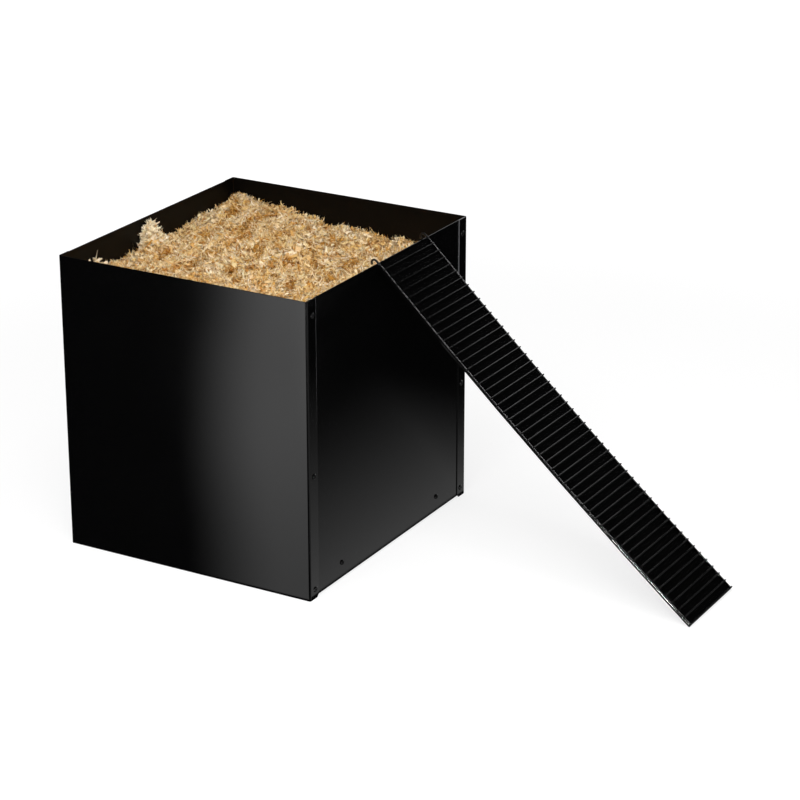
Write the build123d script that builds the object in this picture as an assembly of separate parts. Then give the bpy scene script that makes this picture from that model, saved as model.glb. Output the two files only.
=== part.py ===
from build123d import *

import os
from math import acos, asin, atan2, ceil, cos, degrees, exp, hypot, pi, radians, sin

# An open-topped box of folded black sheet steel, filled with wood shavings,
# with a wire-runged ramp that hooks over the rim of its right side.
# Millimetres, +Z up. The front panel faces -Y and the ramp runs out along +X.
# The origin is the centre of the whole footprint, on the floor.

# Box panels
BOX_WIDTH = 325.0  # X, over the corner flanges
BOX_DEPTH = 356.0  # Y, front face to rear face
BOX_HEIGHT = 350.0  # floor to rim
SHEET = 1.0  # steel sheet of the panels and of the floor tray
BEND = 1.2  # inside radius of a fold
FLANGE = 18.5  # how far a corner flange laps back over the side panel
FLANGE_CLIP = 4.0  # clipped lower corner of a flange
FLANGE_ROUND = 0.4  # coated free edges of a flange
SIDE_LIFT = 2.3  # side panels' lower edges above the floor
SIDE_END_GAP = 0.4  # end of a side panel to the fold beside it

# Floor tray
FLOOR_LIFT = 6.0  # underside of the tray above the floor
TRAY_EDGE = 15.5  # tray walls' upper edges above the screws
TRAY_END_GAP = 0.6  # tray to the front and rear panels
TRAY_NOTCH_GAP = 5.0  # end of a tray wall to the corner flange's edge

# Blind rivets in the corner flanges
RIVET_DIAMETER = 3.2
RIVET_HOLE_GAP = 0.05  # radial
RIVET_HEAD = 6.4
RIVET_HEAD_HEIGHT = 1.1
RIVET_HEAD_ROUND = 0.9
RIVET_TAIL = 4.6
RIVET_TAIL_LENGTH = 2.8
RIVET_PIT = 1.9  # bore left in the head by the pulled pin
RIVET_PIT_DEPTH = 0.7
RIVET_EDGE = 7.5  # from the flange's free edge
RIVET_LOW = 11.0  # lowest rivets above the floor
RIVET_MIDDLE = 146.0  # middle rivets above the floor
RIVET_RIM = 18.0  # highest rivets below the rim

# Screws and nuts that hold the floor tray between the side panels
SCREW_DIAMETER = 3.0
SCREW_HOLE_GAP = 0.2  # radial
SCREW_HEAD = 5.7
SCREW_HEAD_HEIGHT = 1.65
SCREW_HEAD_ROUND = 1.1
SCREW_SOCKET = 2.0  # across flats
SCREW_SOCKET_DEPTH = 1.0
SCREW_TIP = 1.0  # past the nut
SCREW_END = 46.0  # from the end of the tray's wall
SCREW_RISE = 13.5  # above the tray's floor
NUT_FLATS = 5.5
NUT_HEIGHT = 2.4
NUT_THREAD_GAP = 0.05  # radial

# Wood shavings
BEDDING_GAP = 0.8  # clear of the panels, rivet tails and screw tips
BEDDING_DROP = 36.0  # edge of the fill below the rim
BEDDING_CROWN = 7.0  # middle of the fill above its edge
BEDDING_SHOULDER = 75.0  # below the rim; from here up the fill reaches the side panels
HEAP_RISE = 12.0  # heap in the rear left corner
HEAP_SPREAD = 67.0
HEAP_X = 35.0  # its top from the left side panel
HEAP_Y = 25.0  # its top from the rear panel
HOLLOW_DEPTH = 9.0  # hollow in the rear right corner
HOLLOW_SPREAD = 128.0
HOLLOW_X = 16.0  # its bottom from the right side panel
SWELL_HEIGHT = 1.4  # gentle swells that cross each other
SWELL_LENGTHS = (51.0, 64.0, 83.0, 97.0)
SWELL_TURN = 38.0  # degrees from each swell's direction to the next
SWELL_PHASE = 115.0  # degrees by which each swell is ahead of the one before
SURFACE_STEP = 12.0  # greatest spacing of the points that the top is drawn through

# Ramp
RUNG_COUNT = 51
RUNG_PITCH = 10.25
RUNG_WIRE = 1.8
RUNG_INSET = 0.7  # end of a rung from the side of the plate
RAIL_WIRE = 2.4
RAIL_EDGE = 0.2  # side of the plate past the side of a rail
RAIL_END = 0.3  # rail stops short of the plate's lower end
WELD_FLAT = 0.2  # depth of the flat along a wire's underside, where it is welded
HOOK_BEND = 3.4  # radius of the hook's bend, at the middle of the wire
HOOK_WRAP = 178.0  # degrees of wire in that bend
HOOK_REACH = 3.0  # start of that bend from the middle of the rim, along the rail
RIM_GAP = 0.2  # rail to the rim's upper edges
PLATE_WIDTH = 113.0
PLATE_SHEET = 1.0
PLATE_START = 3.0  # plate's upper edge from the middle of the rim
TOP_MARGIN = 11.0  # first rung from the middle of the rim
END_MARGIN = 1.3  # last rung from the plate's lower end
RAMP_SAG = 5.0  # bow of the ramp below the straight line between its ends
RUNGS_PER_STRETCH = 10  # the bow is made of straight stretches, slightly bent between
RAMP_OFFSET = 27.5  # middle of the ramp behind the middle of the box

# Box planes worked out from the sizes above
HALF_WIDTH = BOX_WIDTH / 2
HALF_DEPTH = BOX_DEPTH / 2
SIDE_OUTER = HALF_WIDTH - SHEET
SIDE_INNER = SIDE_OUTER - SHEET
FLANGE_EDGE = HALF_DEPTH - FLANGE
FLOOR_TOP = FLOOR_LIFT + SHEET
TRAY_WALL_END = FLANGE_EDGE - TRAY_NOTCH_GAP
SCREW_Y = TRAY_WALL_END - SCREW_END
SCREW_HEIGHT = FLOOR_TOP + SCREW_RISE
TRAY_WALL = SCREW_HEIGHT + TRAY_EDGE - FLOOR_LIFT
RIVET_Y = FLANGE_EDGE + RIVET_EDGE
RIVET_HEIGHTS = (RIVET_LOW, RIVET_MIDDLE, BOX_HEIGHT - RIVET_RIM)

UP = (Align.CENTER, Align.CENTER, Align.MIN)
DOWN = (Align.CENTER, Align.CENTER, Align.MAX)


def block(low, high):
    """Box between two opposite corners."""
    size = [b - a for a, b in zip(low, high)]
    return Pos(*low) * Box(*size, align=(Align.MIN, Align.MIN, Align.MIN))


def group(shapes):
    """Like pieces as separate solids of one node."""
    return Compound([shape.solid() for shape in shapes])


def cross_bore(y, z, radius):
    """Round bar along X, through both sides of the box."""
    return Pos(0, y, z) * Rot(0, 90, 0) * Cylinder(radius, 2 * BOX_WIDTH)


def rivet_bores():
    radius = RIVET_DIAMETER / 2 + RIVET_HOLE_GAP
    return [cross_bore(y, z, radius) for y in (-RIVET_Y, RIVET_Y) for z in RIVET_HEIGHTS]


def screw_bores():
    radius = SCREW_DIAMETER / 2 + SCREW_HOLE_GAP
    return [cross_bore(y, SCREW_HEIGHT, radius) for y in (-SCREW_Y, SCREW_Y)]


def make_front_panel():
    """Flat front with a flange folded back at each side, standing on the floor."""
    outer = Pos(0, -HALF_DEPTH) * Rectangle(BOX_WIDTH, FLANGE, align=(Align.CENTER, Align.MIN))
    inner_y = -HALF_DEPTH + SHEET
    inner = Pos(0, inner_y) * Rectangle(BOX_WIDTH - 2 * SHEET, FLANGE, align=(Align.CENTER, Align.MIN))
    outer = fillet(outer.vertices().group_by(Axis.Y)[0], BEND + SHEET)
    inner = fillet(inner.vertices().group_by(Axis.Y)[0], BEND)
    section = outer - inner
    section = fillet(section.vertices().group_by(Axis.Y)[-1], FLANGE_ROUND)
    panel = extrude(section, BOX_HEIGHT)
    corner = Polyline(
        (-FLANGE_EDGE, 0),
        (-FLANGE_EDGE - FLANGE_CLIP, 0),
        (-FLANGE_EDGE, FLANGE_CLIP),
        close=True,
    )
    clip = extrude(Plane.YZ * make_face(corner), BOX_WIDTH, both=True)
    return panel - clip - rivet_bores()


def make_right_side_panel():
    """Flat side sheet, lapped inside the corner flanges."""
    end = HALF_DEPTH - SHEET - BEND - SIDE_END_GAP
    sheet = block((SIDE_INNER, -end, SIDE_LIFT), (SIDE_OUTER, end, BOX_HEIGHT))
    return sheet - rivet_bores() - screw_bores()


def make_floor_tray():
    """Floor sheet with upturned left and right walls, notched clear of the corner rivets."""
    half_length = HALF_DEPTH - SHEET - TRAY_END_GAP
    outer = Pos(0, FLOOR_LIFT) * Rectangle(2 * SIDE_INNER, TRAY_WALL, align=(Align.CENTER, Align.MIN))
    inner = Pos(0, FLOOR_TOP) * Rectangle(
        2 * (SIDE_INNER - SHEET), TRAY_WALL, align=(Align.CENTER, Align.MIN)
    )
    outer = fillet(outer.vertices().group_by(Axis.Y)[0], BEND + SHEET)
    inner = fillet(inner.vertices().group_by(Axis.Y)[0], BEND)
    tray = extrude(Plane.XZ * (outer - inner), half_length, both=True)
    notch_x = SIDE_INNER - SHEET - BEND
    top = FLOOR_LIFT + TRAY_WALL
    notch = block((notch_x, TRAY_WALL_END, FLOOR_LIFT), (SIDE_INNER, half_length, top))
    for plane in (Plane.YZ, Plane.XZ):
        notch = notch + mirror(notch, about=plane)
    return tray - notch - screw_bores()


def turn_right(shape, x, y, z):
    """Sets a fastener that was made along +Z into the right side, its head outwards."""
    return Pos(x, y, z) * Rot(0, 90, 0) * shape


def make_rivet():
    """Domed head above z = 0, shank through two sheets and the swollen tail below them."""
    head = Cylinder(RIVET_HEAD / 2, RIVET_HEAD_HEIGHT, align=UP)
    head = fillet(head.edges().group_by(Axis.Z)[-1], RIVET_HEAD_ROUND)
    head -= Pos(0, 0, RIVET_HEAD_HEIGHT) * Cylinder(RIVET_PIT / 2, RIVET_PIT_DEPTH, align=DOWN)
    shank = Cylinder(RIVET_DIAMETER / 2, 2 * SHEET, align=DOWN)
    tail = Pos(0, 0, -2 * SHEET) * Cylinder(RIVET_TAIL / 2, RIVET_TAIL_LENGTH, align=DOWN)
    return head + shank + tail


def make_screw():
    """Rounded head above z = 0 with a hex socket, and its shank below."""
    length = 2 * SHEET + NUT_HEIGHT + SCREW_TIP
    head = Cylinder(SCREW_HEAD / 2, SCREW_HEAD_HEIGHT, align=UP)
    head = fillet(head.edges().group_by(Axis.Z)[-1], SCREW_HEAD_ROUND)
    socket = RegularPolygon(SCREW_SOCKET / 2, 6, major_radius=False)
    head -= Pos(0, 0, SCREW_HEAD_HEIGHT) * extrude(socket, -SCREW_SOCKET_DEPTH)
    return head + Cylinder(SCREW_DIAMETER / 2, length, align=DOWN)


def make_nut():
    """Hexagon nut below z = 0."""
    bore = Circle(SCREW_DIAMETER / 2 + NUT_THREAD_GAP)
    return extrude(RegularPolygon(NUT_FLATS / 2, 6, major_radius=False) - bore, -NUT_HEIGHT)


def bump(x, y, spread):
    """Round hill of height 1 about the origin."""
    return exp(-(x**2 + y**2) / spread**2)


def fill_height(x, y):
    """Top of the fill: crowned, with a heap and a hollow at the rear, and gentle swells."""
    inner_y = HALF_DEPTH - SHEET
    crown = (1 - (x / SIDE_INNER) ** 2) * (1 - (y / inner_y) ** 2)
    height = BOX_HEIGHT - BEDDING_DROP + BEDDING_CROWN * crown
    height += HEAP_RISE * bump(x + SIDE_INNER - HEAP_X, y - inner_y + HEAP_Y, HEAP_SPREAD)
    height -= HOLLOW_DEPTH * bump(x - SIDE_INNER + HOLLOW_X, y - inner_y, HOLLOW_SPREAD)
    for number, length in enumerate(SWELL_LENGTHS):
        turn = radians(number * SWELL_TURN)
        along = x * cos(turn) + y * sin(turn)
        height += SWELL_HEIGHT * sin(2 * pi * along / length + number * radians(SWELL_PHASE))
    return height


def evenly(half_span):
    """Places from one side of the middle to the other, at most a surface step apart."""
    count = ceil(2 * half_span / SURFACE_STEP)
    return [half_span * (2 * number / count - 1) for number in range(count + 1)]


def make_bedding():
    """Fill of shavings with a heaped top, narrow below to be clear of rivet tails, nuts and screw tips."""
    half_y = HALF_DEPTH - SHEET - BEDDING_GAP
    wide = SIDE_INNER - BEDDING_GAP
    slim = wide - max(RIVET_TAIL_LENGTH, SHEET + NUT_HEIGHT + SCREW_TIP)
    shoulder = BOX_HEIGHT - BEDDING_SHOULDER
    body = block((-slim, -half_y, FLOOR_TOP), (slim, half_y, shoulder))
    body += block((-wide, -half_y, shoulder), (wide, half_y, BOX_HEIGHT))
    rows = [[Vector(x, y, fill_height(x, y)) for y in evenly(HALF_DEPTH)] for x in evenly(HALF_WIDTH)]
    top = Face.make_surface_from_array_of_points(rows)
    return body & extrude(top, BOX_HEIGHT, dir=(0, 0, -1))


# Ramp lines. A place on the ramp is a length along the rails from the rim and a height
# above the middle of the rails. Its side view starts level, over the middle of the rim.
RAIL_HALF = RAIL_WIRE / 2 - WELD_FLAT  # from the middle of a rail down to the plate
RAIL_INSET = RAIL_EDGE + RAIL_WIRE / 2
RAIL_RISE = SHEET / 2 + RIM_GAP + RAIL_HALF  # middle of a rail from the middle of the rim
HOOK_CENTRE = Vector(-HOOK_REACH, RAIL_RISE - HOOK_BEND)
RAMP_LENGTH = TOP_MARGIN + (RUNG_COUNT - 1) * RUNG_PITCH + END_MARGIN
PLATE_TOP = -RAIL_HALF
PLATE_UNDER = PLATE_TOP - PLATE_SHEET

# The bow's slight bends lie between two rungs
KINKED_RUNGS = range(RUNGS_PER_STRETCH, RUNG_COUNT, RUNGS_PER_STRETCH)
KINKS = [TOP_MARGIN + (rung - 0.5) * RUNG_PITCH for rung in KINKED_RUNGS]
KINK_TURN = 8 * RAMP_SAG * RUNGS_PER_STRETCH * RUNG_PITCH / RAMP_LENGTH**2  # radians


def turn_at(length):
    """Upward turn of the ramp at a length from the rim, in radians."""
    return KINK_TURN * sum(length > kink for kink in KINKS)


def bowed(length, height):
    """Point of the ramp's side view, from the middle of the rim, before the ramp is tilted."""
    point = Vector(0, RAIL_RISE)
    ends = [0, *[kink for kink in KINKS if kink < length], length]
    for start, end in zip(ends, ends[1:]):
        turn = turn_at(end)
        point += Vector(cos(turn), sin(turn)) * (end - start)
    turn = turn_at(length)
    return point + Vector(-sin(turn), cos(turn)) * height


def bent(kink, height):
    """Corner of a layer at one of the bow's bends."""
    turn = turn_at(kink) + KINK_TURN / 2
    reach = height / cos(KINK_TURN / 2)
    return bowed(kink, 0) + Vector(-sin(turn), cos(turn)) * reach


def bowed_line(start, end, height):
    """Points of a layer's side view, from one length to a greater one."""
    corners = [bent(kink, height) for kink in KINKS if start < kink < end]
    return [bowed(start, height), *corners, bowed(end, height)]


def bowed_band(start, end, under, top):
    """Side view of a layer of the ramp between two heights."""
    outline = bowed_line(start, end, under) + bowed_line(start, end, top)[::-1]
    return make_face(Polyline(*outline, close=True))


# The ramp turns about the middle of the right side panel's rim,
# and is tilted until its lower end stands on the floor.
PIVOT_X = (SIDE_INNER + SIDE_OUTER) / 2
FOOT = bowed(RAMP_LENGTH, PLATE_UNDER)
RAMP_TILT = atan2(FOOT.Y, FOOT.X) + asin(BOX_HEIGHT / hypot(FOOT.X, FOOT.Y))


def ramp_plane(y):
    """Upright plane with X down the ramp, Y out of its upper side and Z towards the front."""
    return Plane(
        origin=(PIVOT_X, RAMP_OFFSET + y, BOX_HEIGHT),
        x_dir=(cos(RAMP_TILT), 0, -sin(RAMP_TILT)),
        z_dir=(0, -1, 0),
    )


def make_ramp_plate():
    """Flat sheet under the rails."""
    sheet = extrude(bowed_band(PLATE_START, RAMP_LENGTH, PLATE_UNDER, PLATE_TOP), PLATE_WIDTH)
    return ramp_plane(PLATE_WIDTH / 2).location * sheet


def flat_wire(radius):
    """Round wire's section, cut flat below, where it is welded."""
    return Circle(radius) & Pos(0, WELD_FLAT) * Rectangle(2 * radius, 2 * radius)


def make_ramp_rail(y):
    """Side wire along the plate's edge, with its upper end curled into a hook behind the rim."""
    run = Polyline(*bowed_line(-HOOK_REACH, RAMP_LENGTH - RAIL_END, 0)[::-1])
    hook = CenterArc(HOOK_CENTRE, HOOK_BEND, 90, HOOK_WRAP)
    section = Plane(origin=run @ 0, x_dir=(0, 0, 1), z_dir=run % 0)
    wire = sweep(
        section * flat_wire(RAIL_WIRE / 2),
        path=Wire([*run.edges(), hook.edge()]),
        transition=Transition.RIGHT,
    )
    return ramp_plane(y).location * wire


def make_ramp_rungs():
    """Straight cross wires, welded across the tops of both rails, the last one at their lower ends."""
    length = PLATE_WIDTH - 2 * RUNG_INSET
    height = RAIL_WIRE / 2 + RUNG_WIRE / 2 - WELD_FLAT
    rungs = []
    for number in range(RUNG_COUNT):
        along = TOP_MARGIN + number * RUNG_PITCH
        middle = bowed(along, height)
        turn = degrees(turn_at(along))
        rung = extrude(flat_wire(RUNG_WIRE / 2), length)
        rungs.append(Pos(middle.X, middle.Y, 0) * Rot(0, 0, turn) * rung)
    return ramp_plane(length / 2).location * group(rungs)


front_panel = make_front_panel()
right_side_panel = make_right_side_panel()
nodes = {
    "front_panel": front_panel,
    "rear_panel": mirror(front_panel, about=Plane.XZ),
    "right_side_panel": right_side_panel,
    "left_side_panel": mirror(right_side_panel, about=Plane.YZ),
    "floor_tray": make_floor_tray(),
    "bedding": make_bedding(),
    "ramp_plate": make_ramp_plate(),
    "ramp_rail_front": make_ramp_rail(RAIL_INSET - PLATE_WIDTH / 2),
    "ramp_rail_rear": make_ramp_rail(PLATE_WIDTH / 2 - RAIL_INSET),
    "ramp_rungs": make_ramp_rungs(),
}

# Fasteners, made for the right side and mirrored to the left
for end, sign in (("front", -1), ("rear", 1)):
    rivets = [turn_right(make_rivet(), HALF_WIDTH, sign * RIVET_Y, z) for z in RIVET_HEIGHTS]
    right = {
        f"corner_rivets_{end}": group(rivets),
        f"floor_screw_{end}": turn_right(make_screw(), SIDE_OUTER, sign * SCREW_Y, SCREW_HEIGHT),
        f"floor_nut_{end}": turn_right(make_nut(), SIDE_INNER - SHEET, sign * SCREW_Y, SCREW_HEIGHT),
    }
    for name, shape in right.items():
        nodes[f"{name}_right"] = shape
        nodes[f"{name}_left"] = mirror(shape, about=Plane.YZ)

# The middle of the whole footprint goes to the origin
boxes = [shape.bounding_box() for shape in nodes.values()]
low_x = min(box.min.X for box in boxes)
high_x = max(box.max.X for box in boxes)
to_origin = Pos(-(low_x + high_x) / 2, 0, 0)

os.makedirs("parts", exist_ok=True)
for name, shape in nodes.items():
    export_step(to_origin * shape, f"parts/{name}.step")

# Raised further, the hooks' ends would meet the inside of the side panel
end_turn = radians(90 + HOOK_WRAP)
hook_end = HOOK_CENTRE + Vector(cos(end_turn), sin(end_turn)) * HOOK_BEND
wall_turn = acos((SHEET + RAIL_WIRE) / 2 / hook_end.length)
most_raised = RAMP_TILT + wall_turn - pi - atan2(hook_end.Y, hook_end.X)
pivot = to_origin * Pos(PIVOT_X, RAMP_OFFSET, BOX_HEIGHT)
print("ramp hinge", pivot.position, "tilt", degrees(RAMP_TILT), "raised at most", degrees(most_raised))
print("overall length", high_x - low_x, "lowest", min(box.min.Z for box in boxes))
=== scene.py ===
"""Dresses a sheet-steel nesting box: black powder coat, a fill of wood shavings and a soft studio stage."""

from typing import NamedTuple

import bpy
import numpy as np
from bpy.props import FloatProperty, FloatVectorProperty, IntProperty, PointerProperty
from bpy.types import Operator, Panel, PropertyGroup
from mathutils import Euler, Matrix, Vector
from mathutils.bvhtree import BVHTree


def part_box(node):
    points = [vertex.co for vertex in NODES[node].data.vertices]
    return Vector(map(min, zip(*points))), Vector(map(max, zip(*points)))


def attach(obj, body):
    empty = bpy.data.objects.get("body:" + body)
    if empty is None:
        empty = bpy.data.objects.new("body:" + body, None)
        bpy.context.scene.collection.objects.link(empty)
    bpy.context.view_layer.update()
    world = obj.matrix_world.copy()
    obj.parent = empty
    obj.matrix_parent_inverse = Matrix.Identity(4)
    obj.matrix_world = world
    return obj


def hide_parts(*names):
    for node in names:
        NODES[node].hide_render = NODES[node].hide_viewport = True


bl_info = {
    "name": "Nesting Box With Ramp",
    "version": (1, 0, 0),
    "blender": (4, 5, 0),
    "location": "View3D > Sidebar > Nesting Box",
    "description": "Finishes a black steel nesting box, fills it with wood shavings and lights it",
    "category": "Object",
}

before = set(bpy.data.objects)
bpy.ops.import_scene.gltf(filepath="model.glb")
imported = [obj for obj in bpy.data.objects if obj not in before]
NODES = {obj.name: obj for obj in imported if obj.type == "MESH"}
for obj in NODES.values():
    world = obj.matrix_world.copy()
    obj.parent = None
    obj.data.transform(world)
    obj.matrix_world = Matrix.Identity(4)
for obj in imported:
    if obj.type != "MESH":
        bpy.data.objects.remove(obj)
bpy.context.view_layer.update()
MM = 0.001

# Planes of the box, in metres, read from the frame
LEFT, FRONT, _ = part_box("front_panel")[0]
RIGHT, _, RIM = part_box("front_panel")[1]
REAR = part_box("rear_panel")[1].y
INNER_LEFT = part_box("left_side_panel")[1].x
INNER_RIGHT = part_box("right_side_panel")[0].x
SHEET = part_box("right_side_panel")[1].x - INNER_RIGHT
INNER_FRONT = FRONT + SHEET
INNER_REAR = REAR - SHEET
WIDTH = RIGHT - LEFT
MIDDLE_X = (LEFT + RIGHT) / 2
FOLD = 2.2 * SHEET  # outer radius of a fold
FREE_EDGE = -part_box("front_panel")[1].y  # edges of the corner flanges, before and behind the middle
FILL_LOW, FILL_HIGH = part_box("bedding")


class Wire:
    """Output of a shader node. Python's operators on it add Math nodes."""

    def __init__(self, graph, socket):
        self.graph = graph
        self.socket = socket

    def math(self, operation, *values):
        inputs = {number: value for number, value in enumerate(values)}
        return self.graph.add("Math", {"operation": operation}, inputs)

    def __add__(self, other):
        return self.math("ADD", self, other)

    def __sub__(self, other):
        return self.math("SUBTRACT", self, other)

    def __rsub__(self, other):
        return self.math("SUBTRACT", other, self)

    def __mul__(self, other):
        return self.math("MULTIPLY", self, other)

    def __truediv__(self, other):
        return self.math("DIVIDE", self, other)

    def __pow__(self, other):
        return self.math("POWER", self, other)

    def __gt__(self, other):
        return self.math("GREATER_THAN", self, other)

    def __lt__(self, other):
        return self.math("LESS_THAN", self, other)

    def __abs__(self):
        return self.math("ABSOLUTE", self)

    def least(self, other):
        return self.math("MINIMUM", self, other)

    def most(self, other):
        return self.math("MAXIMUM", self, other)

    __radd__ = __add__
    __rmul__ = __mul__


class Graph:
    """Node tree of one material or of the world."""

    def __init__(self, owner):
        owner.use_nodes = True
        self.tree = owner.node_tree
        self.tree.nodes.clear()

    def add(self, kind, settings=None, inputs=None, output=0):
        """Adds a node, sets its settings, then fills its inputs, and returns one of its outputs."""
        node = self.tree.nodes.new("ShaderNode" + kind)
        for name, value in (settings or {}).items():
            if name == "stops":
                self.set_stops(node.color_ramp, value)
            else:
                setattr(node, name, value)
        for key, value in (inputs or {}).items():
            socket = self.pick(node.inputs, key)
            if isinstance(value, Wire):
                self.tree.links.new(value.socket, socket)
            else:
                socket.default_value = value
        return Wire(self, self.pick(node.outputs, output)) if node.outputs else None

    @staticmethod
    def pick(sockets, key):
        """Socket by number, or the enabled one of that name."""
        if isinstance(key, int):
            return [socket for socket in sockets if socket.enabled][key]
        return next(socket for socket in sockets if socket.enabled and socket.name == key)

    @staticmethod
    def set_stops(ramp, stops):
        while len(ramp.elements) < len(stops):
            ramp.elements.new(1.0)
        for element, (place, colour) in zip(ramp.elements, stops):
            element.position = place
            element.color = rgba(colour)

    def noise(self, size, place, detail=2.0):
        """Noise between 0 and 1 whose bumps are about size metres wide."""
        return self.add("TexNoise", None, {"Scale": 1 / size, "Vector": place, "Detail": detail}, "Fac")

    def smooth_step(self, value, low, high):
        """0 below low, 1 above high and an even S-curve between."""
        settings = {"interpolation_type": "SMOOTHSTEP"}
        return self.add("MapRange", settings, {"Value": value, "From Min": low, "From Max": high})

    def blend(self, first, second, share):
        """Colour between two colours."""
        inputs = {"Factor": share, "A": first, "B": second}
        return self.add("Mix", {"data_type": "RGBA"}, inputs)

    def tint(self, colour, filter_colour, share):
        """Colour seen through a coloured filter, by a share."""
        inputs = {"Factor": share, "A": colour, "B": filter_colour}
        return self.add("Mix", {"data_type": "RGBA", "blend_type": "MULTIPLY"}, inputs)

    def mottle(self, colour, gain, share):
        """Colour lightened by up to a gain, by a share."""
        lighter = tuple(gain * value for value in colour)
        return self.blend(rgba(colour), rgba(lighter), share)

    def bump(self, height, distance, strength=1.0):
        """Normal of a surface on which a height of 1 stands for a distance in metres."""
        return self.add("Bump", None, {"Strength": strength, "Distance": distance, "Height": height})

    def place(self):
        """Place on the object, in metres."""
        return self.add("TexCoord", output="Object")

    def split(self, vector):
        """The x, y and z of a vector."""
        x = self.add("SeparateXYZ", None, {"Vector": vector})
        return [Wire(self, socket) for socket in x.socket.node.outputs]

    def ray(self, kind):
        """1 to rays of a kind, such as Camera or Glossy."""
        return self.add("LightPath", output=f"Is {kind} Ray")

    def principled(self, inputs):
        return self.add("BsdfPrincipled", None, inputs)

    def mix(self, first, second, share):
        """Shader between two shaders."""
        return self.add("MixShader", None, {"Fac": share, 1: first, 2: second})

    def close(self, shader):
        """Makes a shader the material's surface."""
        self.add("OutputMaterial", None, {"Surface": shader})


def rgba(colour):
    return (*colour, 1.0)


def new_finish(name):
    """New material and its empty node tree."""
    material = bpy.data.materials.new(name)
    return material, Graph(material)


def wear(node, material):
    """Gives a frame node its finish."""
    slots = NODES[node].data.materials
    slots.clear()
    slots.append(material)


class CoatProperties(PropertyGroup):
    """Black powder coat of the panels and the ramp."""

    colour: FloatVectorProperty(
        name="Coat colour",
        description="Colour of the coat",
        subtype="COLOR",
        default=(0.0007, 0.0007, 0.00075),
    )
    roughness: FloatProperty(
        name="Roughness",
        description="Blur of the coat's reflections",
        default=0.1,
        min=0.0,
        max=1.0,
    )
    refraction: FloatProperty(
        name="Refraction",
        description="Index that sets how strongly the coat reflects",
        default=1.65,
        min=1.0,
    )
    peel_size: FloatProperty(
        name="Peel size",
        description="Width of the coat's fine ripples",
        unit="LENGTH",
        default=1.6 * MM,
    )
    peel_depth: FloatProperty(
        name="Peel depth",
        description="Depth of the coat's fine ripples",
        unit="LENGTH",
        default=0.0015 * MM,
    )
    dust_colour: FloatVectorProperty(
        name="Dust colour",
        description="Colour of the wood dust inside the box",
        subtype="COLOR",
        default=(0.3, 0.19, 0.09),
    )
    dust_reach: FloatProperty(
        name="Dust reach",
        description="Height over which the dust fades, half of it above the fill's highest point",
        unit="LENGTH",
        default=34 * MM,
    )


class ShavingsProperties(PropertyGroup):
    """Fill of wood shavings."""

    seed: IntProperty(name="Seed", description="Start of the random draws", default=7)
    flakes: IntProperty(name="Flakes", description="Number of loose flakes", default=33000, min=100)
    heaps: IntProperty(
        name="Groups",
        description="Groups that the flakes are split into",
        default=7,
        min=1,
    )
    length: FloatProperty(
        name="Length",
        description="Middling length of a flake",
        unit="LENGTH",
        default=8.5 * MM,
    )
    width: FloatProperty(
        name="Width",
        description="Middling width of a flake",
        unit="LENGTH",
        default=3.4 * MM,
    )
    thickness: FloatProperty(
        name="Thickness",
        description="Thickness of a flake",
        unit="LENGTH",
        default=0.2 * MM,
    )
    pale: FloatVectorProperty(
        name="Pale wood",
        description="Colour of the palest flakes",
        subtype="COLOR",
        default=(0.97, 0.86, 0.65),
    )
    dark: FloatVectorProperty(
        name="Dark wood",
        description="Colour of the darkest flakes",
        subtype="COLOR",
        default=(0.42, 0.20, 0.04),
    )


class StageProperties(PropertyGroup):
    """Camera, floor and light."""

    lens: FloatProperty(name="Lens", description="Focal length", unit="CAMERA", default=122.49)
    place: FloatVectorProperty(
        name="Camera place",
        description="Where the camera stands",
        subtype="XYZ",
        unit="LENGTH",
        default=(1.40949, -2.49596, 1.29069),
    )
    yaw: FloatProperty(
        name="Yaw",
        description="Turn of the camera to its left",
        unit="ROTATION",
        default=0.5204,
    )
    pitch: FloatProperty(
        name="Pitch",
        description="Downward tilt of the camera",
        unit="ROTATION",
        default=0.3678,
    )
    ambient: FloatProperty(name="Ambient", description="Light from all round", default=0.42, min=0.0)
    key: FloatProperty(
        name="Key light",
        description="Power of the large high light before the box",
        unit="POWER",
        default=31.5,
    )
    side: FloatProperty(
        name="Side light",
        description="Power of the light on the right",
        unit="POWER",
        default=5.0,
    )
    edge: FloatProperty(
        name="Edge light",
        description="Power of the small high light right of the ramp",
        unit="POWER",
        default=1.9,
    )
    rail: FloatProperty(
        name="Rail light",
        description="Power of the small low light before the ramp",
        unit="POWER",
        default=14.0,
    )
    rung: FloatProperty(
        name="Rung light",
        description="Power of the small high light behind the ramp",
        unit="POWER",
        default=0.38,
    )
    fill: FloatProperty(
        name="Fill light",
        description="Power of the long light before the box",
        unit="POWER",
        default=1.2,
    )


class NestBoxProperties(PropertyGroup):
    """Everything that can be changed."""

    coat: PointerProperty(type=CoatProperties)
    shavings: PointerProperty(type=ShavingsProperties)
    stage: PointerProperty(type=StageProperties)


# Finishes of the steel
PAINTED_EDGE_HIGHLIGHT = (0.09, 0.09, 0.095)  # painted highlight: pale grey line on the flanges' free edges, in place of a glint
BLACK_OXIDE = (0.002, 0.002, 0.0022)
RUBBED_OXIDE = (0.012, 0.011, 0.01)
BRIGHT_ZINC = (0.62, 0.63, 0.65)
DULL_ZINC = (0.42, 0.41, 0.38)


def inside_mask(x, y):
    """1 on faces that look into the box."""
    half_width = (INNER_RIGHT - INNER_LEFT + SHEET) / 2
    half_depth = (INNER_REAR - INNER_FRONT + SHEET) / 2
    return (abs(x - MIDDLE_X) < half_width) * (abs(y) < half_depth)


def painted_edge_highlight(graph, x, y, z):
    """Painted highlight: 1 along the upper part of the corner flanges' free edges, where a glint of light
    is painted on as a pale line.
    """
    outer = abs(x - MIDDLE_X) > WIDTH / 2 - 0.9 * SHEET
    edge = 1 - graph.smooth_step(abs(abs(y) - FREE_EDGE), 0.4 * MM, 1.0 * MM)
    upper = graph.smooth_step(z, 0.55 * RIM, 0.75 * RIM)
    return outer * edge * upper


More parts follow.
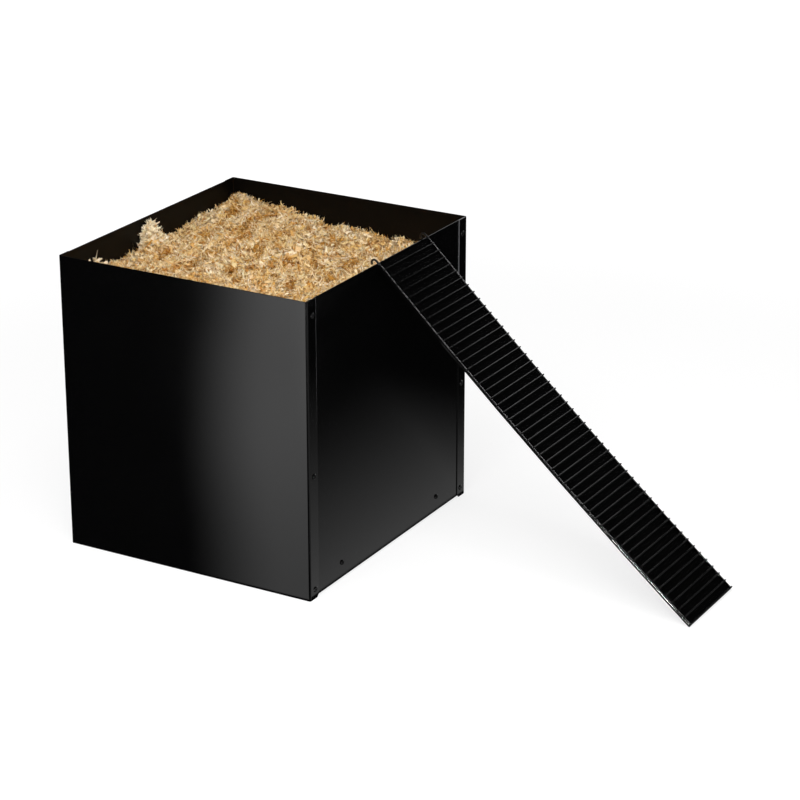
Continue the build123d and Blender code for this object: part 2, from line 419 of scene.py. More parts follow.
def dust_share(coat, graph, place, z):
    """Share of wood dust on the walls: a thin film all over, with patches of haze and specks low down."""
    film = 0.008
    haze = 0.01
    speck = 0.12
    specks = graph.smooth_step(graph.noise(0.9 * MM, place, detail=3.0), 0.6, 0.75)
    patches = graph.noise(18 * MM, place)
    low = FILL_HIGH.z - coat.dust_reach / 2
    low_down = 1 - graph.smooth_step(z, low, low + coat.dust_reach)
    return film + low_down * patches * (haze + speck * specks)


def powder_coat(coat, name, dusty):
    """Black powder coat with fine ripples and faint smears, dulled by a film of wood dust inside the box.

    The front's corner flanges seem to lean a little, as folded sheet does.
    """
    lean = 0.06  # slope of the flanges
    material, graph = new_finish(name)
    place = graph.place()
    x, y, z = graph.split(place)
    smear = graph.noise(60 * MM, place, detail=3.0)
    colour = graph.mottle(coat.colour, 1.6, smear)
    # painted highlight: a pale line on the upper part of the flanges' free edges stands in for a glint
    colour = graph.blend(colour, rgba(PAINTED_EDGE_HIGHLIGHT), painted_edge_highlight(graph, x, y, z))
    roughness = coat.roughness + 0.03 * (smear - 0.5)
    ripples = coat.peel_depth * graph.noise(coat.peel_size, place)
    flange = (y + FREE_EDGE).most(FRONT + FREE_EDGE + FOLD).least(0.0)
    normal = graph.bump(ripples - lean * flange, 1.0)
    glossy = {"Base Color": colour, "Roughness": roughness, "IOR": coat.refraction, "Normal": normal}
    shader = graph.principled(glossy)
    if dusty:
        dust = dust_share(coat, graph, place, z)
        film = graph.blend(colour, rgba(coat.dust_colour), dust)
        dull = {"Base Color": film, "Roughness": 0.5 + dust, "IOR": 1.2, "Normal": normal}
        shader = graph.mix(shader, graph.principled(dull), inside_mask(x, y))
    graph.close(shader)
    return material


def wire_coat(coat):
    """Thicker, smoother black coat of the ramp's wires, dull on the hooks, which rub on the rim."""
    material, graph = new_finish("black wire coat")
    place = graph.place()
    _, _, z = graph.split(place)
    runs = graph.noise(5 * MM, place)
    colour = graph.mottle(coat.colour, 1.8, runs)
    rubbed = graph.smooth_step(z, RIM - 2 * MM, RIM + 1 * MM)
    roughness = 0.09 + 0.04 * runs + 0.4 * rubbed
    normal = graph.bump(runs, 0.01 * MM)
    glossy = {"Base Color": colour, "Roughness": roughness, "IOR": coat.refraction, "Normal": normal}
    graph.close(graph.principled(glossy))
    return material


def rivet_coat(coat):
    """Duller black coat of the rivets."""
    material, graph = new_finish("black rivet coat")
    grain = graph.noise(1.0 * MM, graph.place(), detail=3.0)
    colour = graph.mottle(coat.colour, 2.5, grain)
    graph.close(graph.principled({"Base Color": colour, "Roughness": 0.3 + 0.15 * grain, "IOR": 1.5}))
    return material


def blackened_screw():
    """Black oxide on steel, rubbed a little brighter in patches."""
    material, graph = new_finish("black screw")
    rubbed = graph.smooth_step(graph.noise(1.2 * MM, graph.place(), detail=4.0), 0.52, 0.75)
    colour = graph.blend(rgba(BLACK_OXIDE), rgba(RUBBED_OXIDE), rubbed)
    roughness = 0.45 + 0.2 * rubbed
    normal = graph.bump(rubbed, 0.02 * MM, strength=0.6)
    oxide = {"Base Color": colour, "Metallic": 0.6, "Roughness": roughness, "Normal": normal}
    graph.close(graph.principled(oxide))
    return material


def zinc_nut():
    """Bright zinc with dull patches."""
    material, graph = new_finish("zinc nut")
    dull = graph.noise(1.5 * MM, graph.place(), detail=4.0)
    colour = graph.blend(rgba(BRIGHT_ZINC), rgba(DULL_ZINC), dull)
    graph.close(graph.principled({"Base Color": colour, "Metallic": 1.0, "Roughness": 0.25 + 0.3 * dull}))
    return material


class CoatPanels(Operator):
    """Gives the panels and the floor tray their black powder coat"""

    bl_idname = "nest_box.coat_panels"
    bl_label = "Coat Panels"

    def execute(self, context):
        panel_coat = powder_coat(context.scene.nest_box.coat, "black panel coat", dusty=True)
        for node in ("front_panel", "rear_panel", "left_side_panel", "right_side_panel", "floor_tray"):
            wear(node, panel_coat)
        return {"FINISHED"}


class CoatRamp(Operator):
    """Gives the ramp's plate and wires their black coats"""

    bl_idname = "nest_box.coat_ramp"
    bl_label = "Coat Ramp"

    def execute(self, context):
        coat = context.scene.nest_box.coat
        wear("ramp_plate", powder_coat(coat, "black ramp coat", dusty=False))
        wires = wire_coat(coat)
        for node in ("ramp_rail_front", "ramp_rail_rear", "ramp_rungs"):
            wear(node, wires)
        return {"FINISHED"}


class FinishFasteners(Operator):
    """Gives the rivets, screws and nuts their finishes"""

    bl_idname = "nest_box.finish_fasteners"
    bl_label = "Finish Fasteners"

    def execute(self, context):
        finishes = {
            "corner_rivets": rivet_coat(context.scene.nest_box.coat),
            "floor_screw": blackened_screw(),
            "floor_nut": zinc_nut(),
        }
        for node in NODES:
            for start, material in finishes.items():
                if node.startswith(start):
                    wear(node, material)
        return {"FINISHED"}


# Shavings


class Tuft(NamedTuple):
    """Small heap of larger, paler flakes against the left wall."""

    x: float
    y: float
    spread: float  # along x
    before: float  # spread to the front
    behind: float  # spread to the rear
    rise: float
    share: float  # of all flakes, kept for it
    large: float  # size of its own flakes against the others


class FillShape:
    """Height of the fill: the bedding solid's own top, with small lumps and tufts at the left wall."""

    STEP = 2 * MM  # between the points measured on the solid
    LUMPS = 30
    LUMP_SIZES = (9 * MM, 52 * MM)
    LUMP_RISE = 0.0175  # of a lump's size
    TUFT_POWER = 1.15  # 1 for pointed tufts, 2 for rounded ones
    TUFTS = (
        Tuft(INNER_LEFT + 7 * MM, -12 * MM, 9 * MM, 10 * MM, 16 * MM, 28 * MM, share=0.022, large=1.4),
        Tuft(INNER_LEFT + 4 * MM, -118 * MM, 6 * MM, 8 * MM, 6 * MM, 17 * MM, share=0.0012, large=1.9),
    )

    def __init__(self, rng):
        self.xs = np.arange(FILL_LOW.x + self.STEP / 2, FILL_HIGH.x, self.STEP)
        self.ys = np.arange(FILL_LOW.y + self.STEP / 2, FILL_HIGH.y, self.STEP)
        self.top = self.measured_top()
        wavelengths = np.geomspace(*self.LUMP_SIZES, self.LUMPS)
        turns = rng.uniform(0, 2 * np.pi, self.LUMPS)
        self.waves = 2 * np.pi / wavelengths[:, None] * np.c_[np.cos(turns), np.sin(turns)]
        self.phases = rng.uniform(0, 2 * np.pi, self.LUMPS)
        self.swells = self.LUMP_RISE * wavelengths

    def measured_top(self):
        """Heights of the bedding solid at a grid of points."""
        mesh = NODES["bedding"].data
        corners = [vertex.co for vertex in mesh.vertices]
        tree = BVHTree.FromPolygons(corners, [tuple(face.vertices) for face in mesh.polygons])
        down = Vector((0, 0, -1))
        hits = [[tree.ray_cast(Vector((x, y, RIM)), down)[0] for y in self.ys] for x in self.xs]
        return np.array([[hit.z for hit in row] for row in hits])

    def solid_top(self, x, y):
        """Height of the bedding solid between the points that were measured on it."""
        short_of_last = 1.001  # so that each point has a next one
        across = np.clip((x - self.xs[0]) / self.STEP, 0, len(self.xs) - short_of_last)
        back = np.clip((y - self.ys[0]) / self.STEP, 0, len(self.ys) - short_of_last)
        i, j = across.astype(int), back.astype(int)
        u, v = across - i, back - j
        near = self.top[i, j] * (1 - u) + self.top[i + 1, j] * u
        far = self.top[i, j + 1] * (1 - u) + self.top[i + 1, j + 1] * u
        return near * (1 - v) + far * v

    def lumps(self, x, y):
        """Height of the small lumps alone."""
        total = np.zeros_like(x)
        for wave, phase, swell in zip(self.waves, self.phases, self.swells):
            total += swell * np.sin(wave[0] * x + wave[1] * y + phase)
        return total

    def hollow(self, x, y):
        """0 on the lumps, rising to 1.3 in the deepest hollows between them."""
        start = 0.2
        depth = 2 * MM
        deepest = 1.3
        return np.clip(-start - self.lumps(x, y) / depth, 0, deepest)

    def height(self, x, y):
        """Height of the fill, tufts and all."""
        total = self.solid_top(x, y) + self.lumps(x, y)
        for tuft in self.TUFTS:
            spread_y = np.where(y < tuft.y, tuft.before, tuft.behind)
            away = np.hypot((x - tuft.x) / tuft.spread, (y - tuft.y) / spread_y)
            total += tuft.rise * np.exp(-(away**self.TUFT_POWER))
        return total

    def normal(self, x, y):
        """Upward normals of the fill's surface."""
        step = 1.5 * MM
        slope_x = (self.height(x + step, y) - self.height(x - step, y)) / (2 * step)
        slope_y = (self.height(x, y + step) - self.height(x, y - step)) / (2 * step)
        normal = np.stack([-slope_x, -slope_y, np.ones_like(x)], axis=-1)
        return normal / np.linalg.norm(normal, axis=-1, keepdims=True)


def ring(low_x, low_y, high_x, high_y, steps):
    """Points round a rectangle, steps on each side."""
    share = np.arange(steps) / steps
    corners = np.array([(low_x, low_y), (high_x, low_y), (high_x, high_y), (low_x, high_y)])
    ends = np.roll(corners, -1, axis=0)
    return np.concatenate([a + (b - a) * share[:, None] for a, b in zip(corners, ends)])


def new_piece(name, points, faces, material):
    """New mesh object from its points and faces."""
    mesh = bpy.data.meshes.new(name)
    mesh.from_pydata(points, [], faces)
    mesh.materials.append(material)
    piece = bpy.data.objects.new(name, mesh)
    bpy.context.scene.collection.objects.link(piece)
    return piece


def make_bed(shape, material):
    """Packed shavings under the loose flakes: one closed body from the tray up to the walls."""
    gap = 0.6 * MM  # clear of the walls
    clear = 7 * MM  # clear of the side panels lower down, past the tray's walls, screws and rivets
    cover = 3.0 * MM  # of loose flakes
    neck = 75 * MM  # below the rim, where the bed starts to draw in
    slope = 10 * MM  # height over which it draws in
    steps = 96
    xs = np.linspace(INNER_LEFT + gap, INNER_RIGHT - gap, steps + 1)
    ys = np.linspace(INNER_FRONT + gap, INNER_REAR - gap, steps + 1)
    grid_x, grid_y = np.meshgrid(xs, ys)
    top = np.c_[grid_x.ravel(), grid_y.ravel(), (shape.height(grid_x, grid_y) - cover).ravel()]
    number = np.arange(len(top)).reshape(grid_x.shape)
    faces = np.stack([number[:-1, :-1], number[:-1, 1:], number[1:, 1:], number[1:, :-1]], axis=-1)
    faces = faces.reshape(-1, 4).tolist()
    wide = ring(xs[0], ys[0], xs[-1], ys[-1], steps)
    slim = ring(INNER_LEFT + clear, ys[0], INNER_RIGHT - clear, ys[-1], steps)
    layers = ((wide, RIM - neck), (slim, RIM - neck - slope), (slim, FILL_LOW.z))
    points = [top]
    above = np.concatenate([number[0, :-1], number[:-1, -1], number[-1, :0:-1], number[:0:-1, 0]])
    for outline, z in layers:
        below = sum(map(len, points)) + np.arange(len(outline))
        points.append(np.c_[outline, np.full(len(outline), z)])
        sides = np.stack([above, below, np.roll(below, -1), np.roll(above, -1)], axis=-1)
        faces += sides.tolist()
        above = below
    faces.append(above[::-1].tolist())
    return new_piece("shavings_bed", np.concatenate(points).tolist(), faces, material)


def turned(vectors, axis, angle):
    """Vectors turned about unit axes by angles, all as arrays."""
    angle = angle[..., None]
    along = np.sum(vectors * axis, axis=-1, keepdims=True) * axis
    return along + (vectors - along) * np.cos(angle) + np.cross(axis, vectors) * np.sin(angle)


class Flakes:
    """Loose flakes as curled strips with a flat upper face and a ridge below."""

    SECTIONS = 6
    SKEW = 0.12  # spread of the lean to one side
    TWIST = 0.5  # spread of the twist from end to end
    TAPER = (0.1, 0.75)  # share of the width that is lost at the ends
    RAGGED = (0.6, 1.3)  # width of a section against a smooth outline's
    FLAT = 1e-3  # least bend, in radians
    SIDEWAYS = np.array([0.36, 0.48, 0.8])  # any way that isn't a normal of the fill
    MARGIN = 0.04  # left free round a flake's patch of the map
    STRIPS = (  # corners of a section that each long face joins, and the face's sides on the patch
        (0, 1, 0.04, 0.46),
        (1, 2, 0.54, 0.75),
        (2, 0, 0.75, 0.96),
    )
    CAP = np.array([(0.01, 0.01), (0.03, 0.01), (0.01, 0.03)])  # an end's face, in the margin

    def __init__(self, rng, centres, normals, lengths, widths, bends, tilts, thickness, tones):
        count = len(centres)
        self.count = count
        share = np.linspace(-0.5, 0.5, self.SECTIONS)
        normals, along = self.axes(rng, normals, tilts)
        side = np.cross(normals, along)
        angle = bends[:, None] * share
        arc = lengths / np.where(np.abs(bends) < self.FLAT, self.FLAT, bends)
        reach = arc[:, None] * np.sin(angle)
        lift = arc[:, None] * (1 - np.cos(angle))
        skew = rng.normal(0, self.SKEW, count)[:, None] * lengths[:, None] * share
        middle = centres[:, None] + reach[..., None] * along[:, None] + lift[..., None] * normals[:, None]
        middle = middle + skew[..., None] * side[:, None]
        tangent = np.cos(angle)[..., None] * along[:, None] + np.sin(angle)[..., None] * normals[:, None]
        twist = rng.normal(0, self.TWIST, count)[:, None] * share
        wide = turned(np.broadcast_to(side[:, None], tangent.shape), tangent, twist)
        out = np.cross(tangent, wide)
        taper = 1 - rng.uniform(*self.TAPER, count)[:, None] * np.abs(2 * share) ** 3
        ragged = rng.uniform(*self.RAGGED, (count, self.SECTIONS))
        half = (widths[:, None] * taper * ragged / 2)[..., None]
        under = middle - out * thickness[:, None, None]
        self.points = np.stack([middle - wide * half, middle + wide * half, under], axis=2)
        self.tones = tones

    @classmethod
    def axes(cls, rng, normals, tilts):
        """Turns each flake freely about the surface's normal and tips it over by its tilt."""
        start = np.cross(normals, cls.SIDEWAYS)
        start /= np.linalg.norm(start, axis=1, keepdims=True)
        along = turned(start, normals, rng.uniform(0, 2 * np.pi, len(normals)))
        hinge = turned(along, normals, rng.uniform(0, 2 * np.pi, len(normals)))
        return turned(normals, hinge, tilts), turned(along, hinge, tilts)

    def keep_inside(self, gap, below_rim):
        """Presses what would pass through a wall flat against it, and lowers what would reach the rim."""
        over = self.points[..., 2].max(axis=(1, 2)) - (RIM - below_rim)
        self.points[..., 2] -= np.maximum(over, 0)[:, None, None]
        self.points[..., 0] = np.clip(self.points[..., 0], INNER_LEFT + gap, INNER_RIGHT - gap)
        self.points[..., 1] = np.clip(self.points[..., 1], INNER_FRONT + gap, INNER_REAR - gap)

    def corners(self):
        """Corner numbers of one flake's long faces, and the corners' places on its patch of the map."""
        faces, spots = [], []
        last = self.SECTIONS - 1
        span = (1 - 2 * self.MARGIN) / last
        for section in range(last):
            low = self.MARGIN + span * section
            high = low + span
            here, there = 3 * section, 3 * section + 3
            for a, b, left, right in self.STRIPS:
                faces.append((here + a, there + a, there + b, here + b))
                spots.append(((left, low), (left, high), (right, high), (right, low)))
        return np.array(faces), np.array(spots)

    def piece(self, name, chosen, material):
        """One mesh of the chosen flakes, with its bake map and its flake tones."""
        size = 3 * self.SECTIONS
        faces, spots = self.corners()
        base = size * np.arange(len(chosen))
        quads = (faces[None] + base[:, None, None]).reshape(-1, 4)
        last = size - 3
        caps = np.concatenate([base[:, None] + (0, 1, 2), base[:, None] + (last, last + 2, last + 1)])
        points = self.points[chosen].reshape(-1, 3)
        piece = new_piece(name, points.tolist(), quads.tolist() + caps.tolist(), material)
        mesh = piece.data
        mesh.polygons.foreach_set("use_smooth", np.ones(len(mesh.polygons), bool))
        self.sharpen(mesh)
        self.lay_map(mesh, len(chosen), spots)
        tone = np.repeat(self.tones[chosen], size)
        along = np.tile(np.repeat(np.linspace(0, 1, self.SECTIONS), 3), len(chosen))
        across = np.tile((0.0, 1.0, 0.5), self.SECTIONS * len(chosen))
        spot = mesh.attributes.new("flake", "FLOAT_VECTOR", "POINT")
        spot.data.foreach_set("vector", np.c_[tone, along, across].astype(np.float32).ravel())
        return piece

    @staticmethod
    def sharpen(mesh):
        """Marks the flakes' long edges as sharp, so that only the curl is shaded smooth."""
        ends = np.empty(2 * len(mesh.edges), np.int32)
        mesh.edges.foreach_get("vertices", ends)
        first, second = (ends.reshape(-1, 2) % 3).T
        sharp = mesh.attributes.new("sharp_edge", "BOOLEAN", "EDGE")
        sharp.data.foreach_set("value", (first == second) & (first < 2))

    def lay_map(self, mesh, count, spots):
        """Gives each flake its own small patch of the bake map."""
        columns = int(np.ceil(np.sqrt(count)))
        cell = np.c_[np.arange(count) % columns, np.arange(count) // columns]
        sides = (cell[:, None, None] + spots[None]).reshape(-1, 2)
        ends = np.repeat(np.tile(cell, (2, 1)), 3, axis=0) + np.tile(self.CAP, (2 * count, 1))
        layer = mesh.uv_layers.new(name="OFBake")
        places = np.concatenate([sides, ends]) / columns
        layer.data.foreach_set("uv", places.astype(np.float32).ravel())


def shaving_wood(shavings):
    """Pale planed softwood. Each flake has its own tone and grain. Warm dark patches and spots laid by
    place are painted shade of the fill's hollows; tones above 1, painted paler on the tufts, go without
    them.
    """
    rosy = (1, 0.93, 0.92)
    greenish = (0.95, 1, 0.85)
    shade_patch_colour = (0.95, 0.84, 0.62)
    shade_spot_colour = (0.70, 0.48, 0.22)
    stops = (
        (0.0, shavings.dark),
        (0.18, (0.60, 0.32, 0.075)),
        (0.45, (0.80, 0.56, 0.27)),
        (0.75, (0.87, 0.69, 0.44)),
        (1.0, shavings.pale),
    )
    apart = 90  # between one flake's grain and another's
    lengthways = 1.5  # changes of the grain along a flake
    crossways = 9  # changes of the grain across it
    contrast = 0.24  # of the grain
    material, graph = new_finish("wood shaving")
    flake = graph.add("Attribute", {"attribute_name": "flake"}, None, "Vector")
    tone, along, across = graph.split(flake)
    streak = {"X": tone * apart, "Y": along * lengthways, "Z": across * crossways}
    streak = graph.add("CombineXYZ", None, streak)
    grain = graph.noise(1.0, streak, detail=3.0)
    wood = graph.add("ValToRGB", {"stops": stops}, {"Fac": tone + contrast * (grain - 0.5)})
    own = graph.add("TexWhiteNoise", {"noise_dimensions": "1D"}, {"W": tone * 1000}, "Value")
    wood = graph.tint(wood, graph.blend(rgba(rosy), rgba(greenish), own), 0.8)
    place = graph.place()
    # flakes with tones above 1, painted paler on the tufts, skip the painted shade below
    not_extra_pale = 1 - graph.smooth_step(tone, 1.0, 1.05)
    # painted shade: warm dark patches and spots laid by place across the flakes, for the shade in the
    # fill's hollows
    patches = graph.smooth_step(graph.noise(30 * MM, place, detail=1.0), 0.42, 0.64) * not_extra_pale
    wood = graph.tint(wood, rgba(shade_patch_colour), 0.7 * patches)
    spots = graph.smooth_step(graph.noise(14 * MM, place, detail=1.0), 0.59, 0.68) * not_extra_pale
    wood = graph.tint(wood, rgba(shade_spot_colour), 0.9 * spots)
    roughness = 0.62 + 0.2 * grain
    normal = graph.bump(grain, 0.1 * MM, strength=0.5)
    matt = {"Base Color": wood, "Roughness": roughness, "Specular IOR Level": 0.12, "Normal": normal}
    graph.close(graph.principled(matt))
    return material


def bed_painted_shade():
    """Bed of shavings that shows between the loose flakes, coloured dark brown as painted shade of the
    depths between them.
    """
    brown = (0.45, 0.22, 0.05)
    tan = (0.7, 0.45, 0.18)
    material, graph = new_finish("shavings bed in painted shade")
    place = graph.place()
    flecks = graph.add("TexVoronoi", None, {"Vector": place, "Scale": 1 / (3.5 * MM)}, "Color")
    fleck = graph.add("SeparateColor", None, {"Color": flecks}, "Red")
    fibre = graph.noise(1.5 * MM, place, detail=4.0)
    # painted shade: dark browns for the gaps between the loose flakes
    colour = graph.blend(rgba(brown), rgba(tan), 0.7 * fleck + 0.3 * fibre)
    normal = graph.bump(fleck + 0.5 * fibre, 1.5 * MM)
    graph.close(graph.principled({"Base Color": colour, "Roughness": 0.85, "Normal": normal}))
    return material


class Kind(NamedTuple):
    """One kind of flake."""

    share: float  # of all flakes
    long: float  # length against the middling flake
    wide: float  # width against the middling flake
    curl: float  # middling bend from end to end, in radians
    bend: float  # spread of the bend
    tilt: float  # spread of the tilt out of the surface
    tone: float  # added to the wood's tone
    deepest: float  # below the top of the fill


KINDS = (
    Kind(0.29, 0.85, 0.70, 0.0, 1.1, 0.50, 0.0, 4.5 * MM),  # chips
    Kind(0.28, 1.30, 0.25, 0.0, 1.1, 0.60, 0.06, 3.5 * MM),  # slivers
    Kind(0.22, 1.45, 0.17, 0.0, 1.3, 0.45, 0.26, 0.8 * MM),  # fine strands
    Kind(0.05, 1.10, 0.26, 0.0, 0.7, 1.10, 0.15, 3.5 * MM),  # slivers on end
    Kind(0.13, 1.30, 0.55, 3.4, 1.0, 0.90, 0.02, 4.5 * MM),  # curls
    Kind(0.03, 1.40, 1.30, 0.3, 0.7, 0.40, 0.04, 3.0 * MM),  # broad flakes
)
SIZE_SPREAD = 0.3  # of the flakes' lengths and widths, on a log scale
LENGTHS = (0.5, 1.9)  # shortest and longest against the kind's own length
WIDTHS = (0.5, 1.8)  # narrowest and widest against the kind's own width
THICKNESSES = (0.7, 1.4)  # thinnest and thickest against the set thickness
STEEPEST = 1.5  # tilt, in radians
HIGHEST = 1.5 * MM  # above the top of the fill
GATHER = 0.7  # of a tuft's spread, over which its own flakes lie

# Tones of the flakes: 0 is the darkest wood and 1 the palest
MIDDLING_TONE = 0.61
TONE_SPREAD = 0.28
PAINTED_HOLLOW_SHADE = 0.42  # painted shade: taken off the tone of flakes in the hollows between lumps
LARGE_TINT = 1.5  # added, times how much larger a tuft's own flakes are: painted light that makes the raised tufts paler
TUFT_PALEST_TONE = 1.3  # highest tone of a tuft's own flakes, raised as painted light


def spots_on(tuft, count, rng):
    """Places of a tuft's own flakes."""
    spread = (GATHER * tuft.spread, GATHER * (tuft.before + tuft.behind) / 2)
    return rng.normal((tuft.x, tuft.y), spread, (count, 2))


def scatter(shavings, shape, rng):
    """Loose flakes of all kinds over the whole fill, with more and larger ones on the tufts."""
    low, high = (INNER_LEFT, INNER_FRONT), (INNER_RIGHT, INNER_REAR)
    heaped = [spots_on(tuft, int(tuft.share * shavings.flakes), rng) for tuft in shape.TUFTS]
    spread_out = rng.uniform(low, high, (shavings.flakes - sum(map(len, heaped)), 2))
    x, y = np.clip(np.concatenate([spread_out, *heaped]), low, high).T
    count = len(x)
    kind = rng.choice(len(KINDS), count, p=[row.share for row in KINDS])
    long, wide, curl, bend, tilt, tone, deepest = np.array([row[1:] for row in KINDS])[kind].T
    sizes = (1.0, *[tuft.large for tuft in shape.TUFTS])
    large = np.repeat(sizes, [len(spread_out), *map(len, heaped)])
    lengths = large * shavings.length * long * np.clip(rng.lognormal(0, SIZE_SPREAD, count), *LENGTHS)
    widths = large * shavings.width * wide * np.clip(rng.lognormal(0, SIZE_SPREAD, count), *WIDTHS)
    bends = curl + bend * rng.normal(0, 1, count)
    tilts = np.minimum(np.abs(tilt * rng.normal(0, 1, count)), STEEPEST)
    thickness = shavings.thickness * rng.uniform(*THICKNESSES, count)
    depth = rng.uniform(-HIGHEST, deepest)
    # painted shade makes the flakes in the hollows darker
    middling = MIDDLING_TONE + tone - PAINTED_HOLLOW_SHADE * shape.hollow(x, y) + LARGE_TINT * (large - 1)
    # painted light: the tufts' flakes are given paler tones than the rest, up to their own palest tone
    tones = np.clip(rng.normal(middling, TONE_SPREAD), 0, np.where(large > 1, TUFT_PALEST_TONE, 1.0))
    places = np.c_[x, y, shape.height(x, y) - depth]
    flakes = Flakes(rng, places, shape.normal(x, y), lengths, widths, bends, tilts, thickness, tones)
    flakes.keep_inside(gap=0.4 * MM, below_rim=2 * MM)
    return flakes


class FillShavings(Operator):
    """Fills the box with a bed of shavings and the loose flakes on it"""

    bl_idname = "nest_box.fill_shavings"
    bl_label = "Fill Shavings"

    def execute(self, context):
        shavings = context.scene.nest_box.shavings
        rng = np.random.default_rng(shavings.seed)
        shape = FillShape(rng)
        pieces = [make_bed(shape, bed_painted_shade())]
        flakes = scatter(shavings, shape, rng)
        wood = shaving_wood(shavings)
        groups = np.array_split(rng.permutation(flakes.count), shavings.heaps)
        for number, chosen in enumerate(groups, start=1):
            pieces.append(flakes.piece(f"shavings_flakes_{number}", chosen, wood))
        for piece in pieces:
            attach(piece, "box")
            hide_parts("bedding")
        return {"FINISHED"}


# Stage
FLOOR_REACH = 12.0  # from the middle to each side
UNLIT = 0.005  # what gloss shows of the floor and the room where nothing glows


def softbox(name, place, target, size, power, in_gloss):
    """Rectangular lamp that faces a target. The camera doesn't see it, and gloss only where it should."""
    data = bpy.data.lights.new(name, "AREA")
    data.shape = "RECTANGLE"
    data.size, data.size_y = size
    data.energy = power
    lamp = bpy.data.objects.new(name, data)
    lamp.location = place
    lamp.rotation_mode = "QUATERNION"
    lamp.rotation_quaternion = (Vector(target) - Vector(place)).to_track_quat("-Z", "Y")
    lamp.visible_camera = False
    lamp.visible_glossy = in_gloss
    bpy.context.scene.collection.objects.link(lamp)


def hang_lamps(stage):
    """Two broad lamps that light the box, and four that its gloss shows too."""
    ramp = (0.16, 0.0, 0.17)  # middle of the ramp
    softbox("key_light", (0.35, -1.3, 1.9), (MIDDLE_X, 0.0, RIM), (1.3, 1.3), stage.key, False)
    softbox("side_light", (1.5, -0.6, 1.3), (0.2, 0.0, 0.1), (0.5, 0.9), stage.side, False)
    softbox("edge_light", (1.17, -0.6, 1.62), (0.09, 0.03, 0.23), (0.2, 0.4), stage.edge, True)
    softbox("rail_light", (0.26, -1.5, 0.025), (0.25, 0.0, 0.06), (0.2, 0.04), stage.rail, True)
    softbox("rung_light", (-0.09, 1.0, 0.8), ramp, (0.38, 0.21), stage.rung, True)
    softbox("fill_light", (-0.35, -0.9, 1.0), ramp, (0.3, 1.2), stage.fill, True)


def glow_beside(graph, x, y):
    """Glow that starts a little off the side and rear walls and fades away from them."""
    strength = 0.33
    reach = 0.35
    aside = (abs(x - MIDDLE_X) - WIDTH / 2).most(y - REAR)
    fade = (1 - aside / reach).most(0.0)
    off_wall = graph.smooth_step(aside, 3.5 * MM, 5.5 * MM)
    return strength * fade * fade * off_wall * (y > FRONT)


def glow_behind(graph, x, y):
    """Even glow of the floor farther behind the box, up to its right wall."""
    strength = 0.5
    far = graph.smooth_step(y - REAR, 0.05, 0.15)
    return strength * far * (1 - graph.smooth_step(x - RIGHT, 0.03, 0.1))


def glow_before(graph, x, y):
    """Slanting band before the box, brighter farther out, that makes the front's pale right half."""
    slant = 0.6535  # sideways for each metre ahead
    bow = 0.06  # of the box's width, in the band's soft left edge
    gain = 0.35  # along the band's right part
    ahead = FRONT - y
    mirrored = x + slant * ahead
    bowed = bow * (1 - graph.smooth_step(ahead, 0.0, 0.36)) + bow * graph.smooth_step(ahead, 0.55, 0.85)
    across = (mirrored - LEFT) / WIDTH - bowed
    past = (mirrored - RIGHT) / ahead.most(1 * MM)
    strength = 0.57 + 0.34 * graph.smooth_step(ahead, -0.05, 0.5)
    strength = strength + 0.12 * graph.smooth_step(ahead, 0.6, 0.9)
    right_part = graph.smooth_step(past, 0.022, 0.031) * graph.smooth_step(ahead, 0.3, 0.6)
    strength = strength * (1 + gain * right_part)
    band = graph.smooth_step(across, 0.42, 0.86) * (1 - graph.smooth_step(past, 0.07, 0.14))
    off_wall = graph.smooth_step(ahead, 3 * MM, 6 * MM)
    return band * strength * off_wall


def glow_right(graph, x, y):
    """Faint glow right of the box, between two slanting edges."""
    strength = 0.2
    ahead = FRONT - y
    beyond = x - RIGHT
    front_edge = graph.smooth_step(0.9 * beyond - ahead, 0.0, 0.1)
    rear_edge = graph.smooth_step(1.745 * beyond + ahead, 0.03, 0.2)
    return strength * front_edge * (beyond > 0) * rear_edge


def floor_glow(graph, x, y):
    """How bright the floor looks in gloss, in each place the brightest of its glows."""
    glow = glow_beside(graph, x, y).most(glow_before(graph, x, y))
    return glow.most(glow_behind(graph, x, y)).most(glow_right(graph, x, y))


def floor_finish():
    """Plain pale floor: white to the camera apart from shadows, and with a fading glow in gloss."""
    material, graph = new_finish("pale floor")
    x, y, _ = graph.split(graph.place())
    far = graph.smooth_step((x * x + y * y) ** 0.5, 0.8, 2.0)
    shade = graph.add("BsdfDiffuse", None, {"Color": rgba((0.3, 0.3, 0.3))})
    white = graph.add("Emission", None, {"Color": 0.76 + 0.24 * far})
    seen = graph.add("AddShader", None, {0: shade, 1: white})
    bounce = graph.add("BsdfDiffuse", None, {"Color": rgba((0.8, 0.8, 0.8))})
    plain = graph.mix(bounce, seen, graph.ray("Camera"))
    glow = graph.add("Emission", None, {"Color": UNLIT + floor_glow(graph, x, y)})
    graph.close(graph.mix(plain, glow, graph.ray("Glossy").most(graph.ray("Transmission"))))
    return material


def lay_floor():
    """Large level floor under the box."""
    near, far = -FLOOR_REACH, FLOOR_REACH
    corners = [(near, near, 0), (far, near, 0), (far, far, 0), (near, far, 0)]
    new_piece("floor", corners, [(0, 1, 2, 3)], floor_finish())


def room_glow(graph, x, y, z):
    """How bright the room looks in gloss: dark but for a low wall and a brighter strip at the back."""
    wall = graph.smooth_step(y, 0.3, 0.5) * graph.smooth_step(x + 0.7 * y, 0.085, 0.12)
    wall = wall * (1 - graph.smooth_step(x, 0.1, 0.2)) * (1 - graph.smooth_step(z, 0.38, 0.46))
    strip = graph.smooth_step(x, -0.16, -0.06) * (1 - graph.smooth_step(x, 0.12, 0.24)) * (y > 0)
    strip = strip * (1 - graph.smooth_step(z, 0.34, 0.42))
    return UNLIT + 0.85 * wall + 4.5 * strip


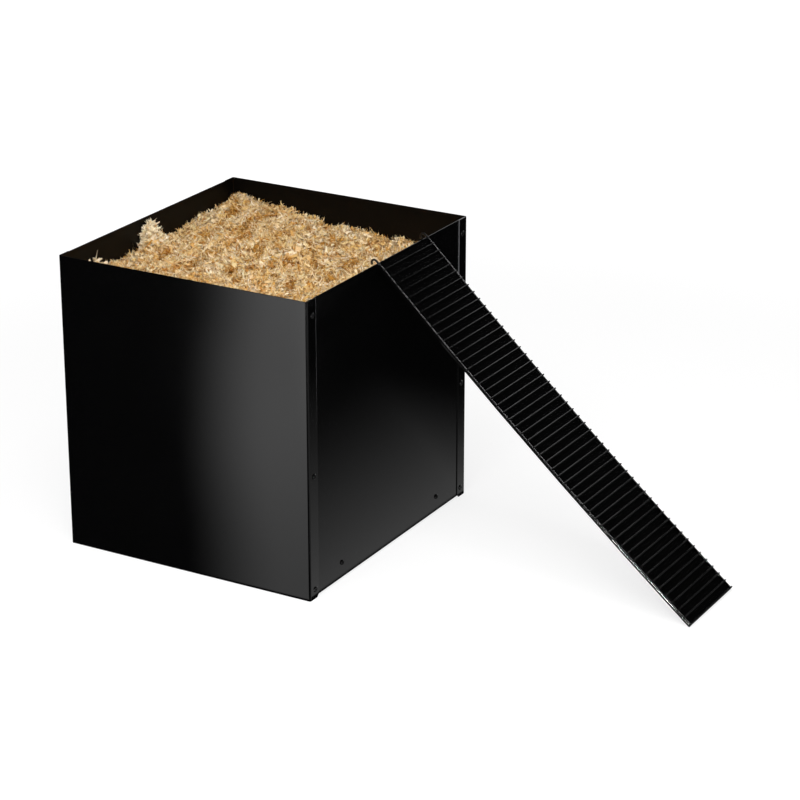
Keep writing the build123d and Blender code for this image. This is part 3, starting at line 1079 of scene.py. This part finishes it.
def set_world(ambient):
    """Even light from all round that looks white to the camera, with the room's own glow in gloss."""
    world = bpy.data.worlds.new("studio")
    bpy.context.scene.world = world
    graph = Graph(world)
    x, y, z = graph.split(graph.add("TexCoord", output="Generated"))
    gloss = graph.ray("Glossy")
    camera = graph.ray("Camera")
    light = gloss * room_glow(graph, x, y, z) + (1 - gloss) * ambient
    strength = camera + (1 - camera) * light
    background = graph.add("Background", None, {"Color": rgba((1, 1, 1)), "Strength": strength})
    graph.add("OutputWorld", None, {"Surface": background})


def new_camera(stage):
    """Camera at its place, turned to its left by the yaw and tilted down by the pitch."""
    data = bpy.data.cameras.new("camera")
    data.lens = stage.lens
    data.clip_end = 100.0
    camera = bpy.data.objects.new("camera", data)
    camera.location = stage.place
    camera.rotation_euler = Euler((np.pi / 2 - stage.pitch, 0.0, stage.yaw))
    bpy.context.scene.collection.objects.link(camera)
    return camera


class SetStage(Operator):
    """Sets the floor, the lamps and the camera"""

    bl_idname = "nest_box.set_stage"
    bl_label = "Set Stage"

    def execute(self, context):
        stage = context.scene.nest_box.stage
        lay_floor()
        set_world(stage.ambient)
        hang_lamps(stage)
        context.scene.camera = new_camera(stage)
        context.scene.view_settings.view_transform = "Standard"
        return {"FINISHED"}


class NestBoxPanel(Panel):
    """Sizes, colours and steps of the nesting box"""

    bl_idname = "VIEW3D_PT_nest_box"
    bl_label = "Nesting Box"
    bl_space_type = "VIEW_3D"
    bl_region_type = "UI"
    bl_category = "Nesting Box"

    def draw(self, context):
        settings = context.scene.nest_box
        for group in (settings.coat, settings.shavings, settings.stage):
            box = self.layout.box()
            for name in group.__annotations__:
                box.prop(group, name)
        for step in STEPS:
            self.layout.operator(step.bl_idname)


STEPS = (CoatPanels, CoatRamp, FinishFasteners, FillShavings, SetStage)
CLASSES = (CoatProperties, ShavingsProperties, StageProperties, NestBoxProperties, *STEPS, NestBoxPanel)


def register():
    for one in CLASSES:
        bpy.utils.register_class(one)
    bpy.types.Scene.nest_box = PointerProperty(type=NestBoxProperties)


def unregister():
    del bpy.types.Scene.nest_box
    for one in reversed(CLASSES):
        bpy.utils.unregister_class(one)


def main():
    register()
    bpy.ops.nest_box.coat_panels()
    bpy.ops.nest_box.coat_ramp()
    bpy.ops.nest_box.finish_fasteners()
    bpy.ops.nest_box.fill_shavings()
    bpy.ops.nest_box.set_stage()


if __name__ == "__main__":
    main()
